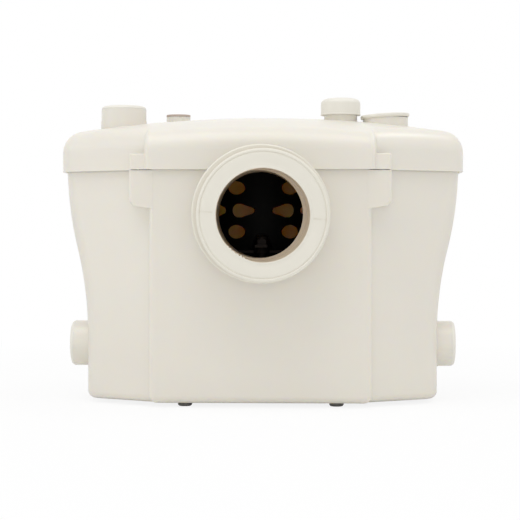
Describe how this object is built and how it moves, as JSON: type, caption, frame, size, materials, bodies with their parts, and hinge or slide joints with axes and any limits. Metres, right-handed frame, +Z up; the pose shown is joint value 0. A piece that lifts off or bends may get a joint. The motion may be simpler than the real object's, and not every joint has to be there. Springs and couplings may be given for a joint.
{
  "type": "macerator toilet pump",
  "caption": "Floor-standing macerator pump for a toilet: domed lid, rubber pan connector, cutting basket, upright motor, impeller, riser with flap valve and level switch.",
  "frame": {"origin": "on the floor under the middle of the whole pump", "axes": "+Z up, -Y out of the waste inlet towards the toilet pan, +X to the discharge side"},
  "size_m": [0.398, 0.2294, 0.3016],
  "materials": {
    "shell_plastic": "satin moulded",
    "plug_plastic": "satin moulded",
    "inlet_rubber": "smooth matt",
    "grey_rubber": "matt",
    "seal_rubber": "matt",
    "gland_rubber": "matt",
    "gland_plastic": "translucent",
    "stainless": "brushed",
    "black_plastic": "moulded",
    "grey_plastic": "moulded",
    "motor_metal": "satin",
    "core_steel": "laminated",
    "copper": "enamelled wire",
    "switch_plastic": "moulded",
    "lever_steel": "plain",
    "board": "lacquered",
    "capacitor_can": "plain",
    "filter_felt": "felt"
  },
  "bodies": {
    "tank": {"air_bell": "grey_plastic", "basket": "black_plastic", "basket_handle": "black_plastic", "bearings": "stainless", "capacitor": "capacitor_can", "circuit_board": "board", "clamp_band": "stainless", "clamp_screw": "stainless", "diaphragm": "seal_rubber", "diaphragm_cap": "grey_plastic", "discharge_flap_pin": "stainless", "elbow_hose": "seal_rubber", "electrics_cover": "grey_plastic", "hose_clips": "stainless", "inlet_guide": "black_plastic", "lid_seal": "seal_rubber", "micro_switch": "switch_plastic", "motor_can": "motor_metal", "motor_lower_flange": "motor_metal", "motor_upper_flange": "motor_metal", "pump_screws": "stainless", "pump_volute": "grey_plastic", "riser_pipe": "grey_plastic", "rubber_feet": "grey_rubber", "shaft_seals": "seal_rubber", "side_flap_pins": "stainless", "side_valve_seats": "grey_plastic", "stator_core": "core_steel", "stator_windings": "copper", "suction_plate": "grey_plastic", "switch_tray": "grey_plastic", "tank": "shell_plastic", "terminal_block": "switch_plastic", "tie_rods": "stainless", "tray_screws": "stainless", "valve_body": "grey_plastic", "valve_seal_ring": "seal_rubber", "wc_connector": "inlet_rubber"},
    "lid": {"lid": "shell_plastic", "lid_screws": "stainless", "cable_gland_body": "gland_plastic", "cable_gland_nut": "gland_plastic", "cable_gland_seal": "gland_rubber"},
    "rotor": {"motor_shaft": "stainless", "rotor_core": "core_steel", "impeller": "grey_plastic", "impeller_nut": "stainless", "cutter_blades": "stainless", "cutter_nut": "stainless"},
    "top_plug": {"top_inlet_plug": "plug_plastic"},
    "outlet_plug": {"discharge_plug": "plug_plastic"},
    "vent": {"vent_cap": "plug_plastic", "vent_filter": "filter_felt"},
    "left_plug": {"side_plug_left": "plug_plastic"},
    "right_plug": {"side_plug_right": "plug_plastic"},
    "left_flap": {"side_flap_left": "seal_rubber"},
    "right_flap": {"side_flap_right": "seal_rubber"},
    "riser_flap": {"discharge_flap": "seal_rubber"},
    "plunger": {"switch_plunger": "grey_plastic"},
    "lever": {"switch_lever": "lever_steel"}
  },
  "joints": [
    {"name": "rotor_spin", "type": "hinge", "parent": "tank", "child": "rotor", "pos_m": [0, 0.00425, 0.09], "axis": [0, 0, 1], "continuous": true},
    {"name": "lid_lift", "type": "slide", "parent": "tank", "child": "lid", "axis": [0, 0, 1], "range_m": [0, 0.12]},
    {"name": "top_plug_pull", "type": "slide", "parent": "lid", "child": "top_plug", "axis": [0, 0, 1], "range_m": [0, 0.04]},
    {"name": "outlet_plug_pull", "type": "slide", "parent": "lid", "child": "outlet_plug", "axis": [0, 0, 1], "range_m": [0, 0.04]},
    {"name": "vent_pull", "type": "slide", "parent": "lid", "child": "vent", "axis": [0, 0, 1], "range_m": [0, 0.04]},
    {"name": "left_plug_pull", "type": "slide", "parent": "tank", "child": "left_plug", "axis": [-1, 0, 0], "range_m": [0, 0.04]},
    {"name": "right_plug_pull", "type": "slide", "parent": "tank", "child": "right_plug", "axis": [1, 0, 0], "range_m": [0, 0.04]},
    {"name": "left_flap_swing", "type": "hinge", "parent": "tank", "child": "left_flap", "pos_m": [-0.1587, 0.02525, 0.0788], "axis": [0, -1, 0], "range_deg": [0, 30]},
    {"name": "right_flap_swing", "type": "hinge", "parent": "tank", "child": "right_flap", "pos_m": [0.1587, 0.02525, 0.0788], "axis": [0, 1, 0], "range_deg": [0, 30]},
    {"name": "riser_flap_swing", "type": "hinge", "parent": "tank", "child": "riser_flap", "pos_m": [0.1082, 0.02525, 0.2233], "axis": [0, -1, 0], "range_deg": [0, 50]},
    {"name": "plunger_rise", "type": "slide", "parent": "tank", "child": "plunger", "axis": [0, 0, 1], "range_m": [0, 0.0025], "stiffness_N_per_m": 300},
    {"name": "lever_swing", "type": "hinge", "parent": "tank", "child": "lever", "pos_m": [-0.102, 0.03225, 0.2243], "axis": [0, -1, 0], "range_deg": [0, 10.5]}
  ],
  "couplings": [
    {"joint": "lever_swing", "follows": "plunger_rise", "rad_per_m": 71.429}
  ]
}
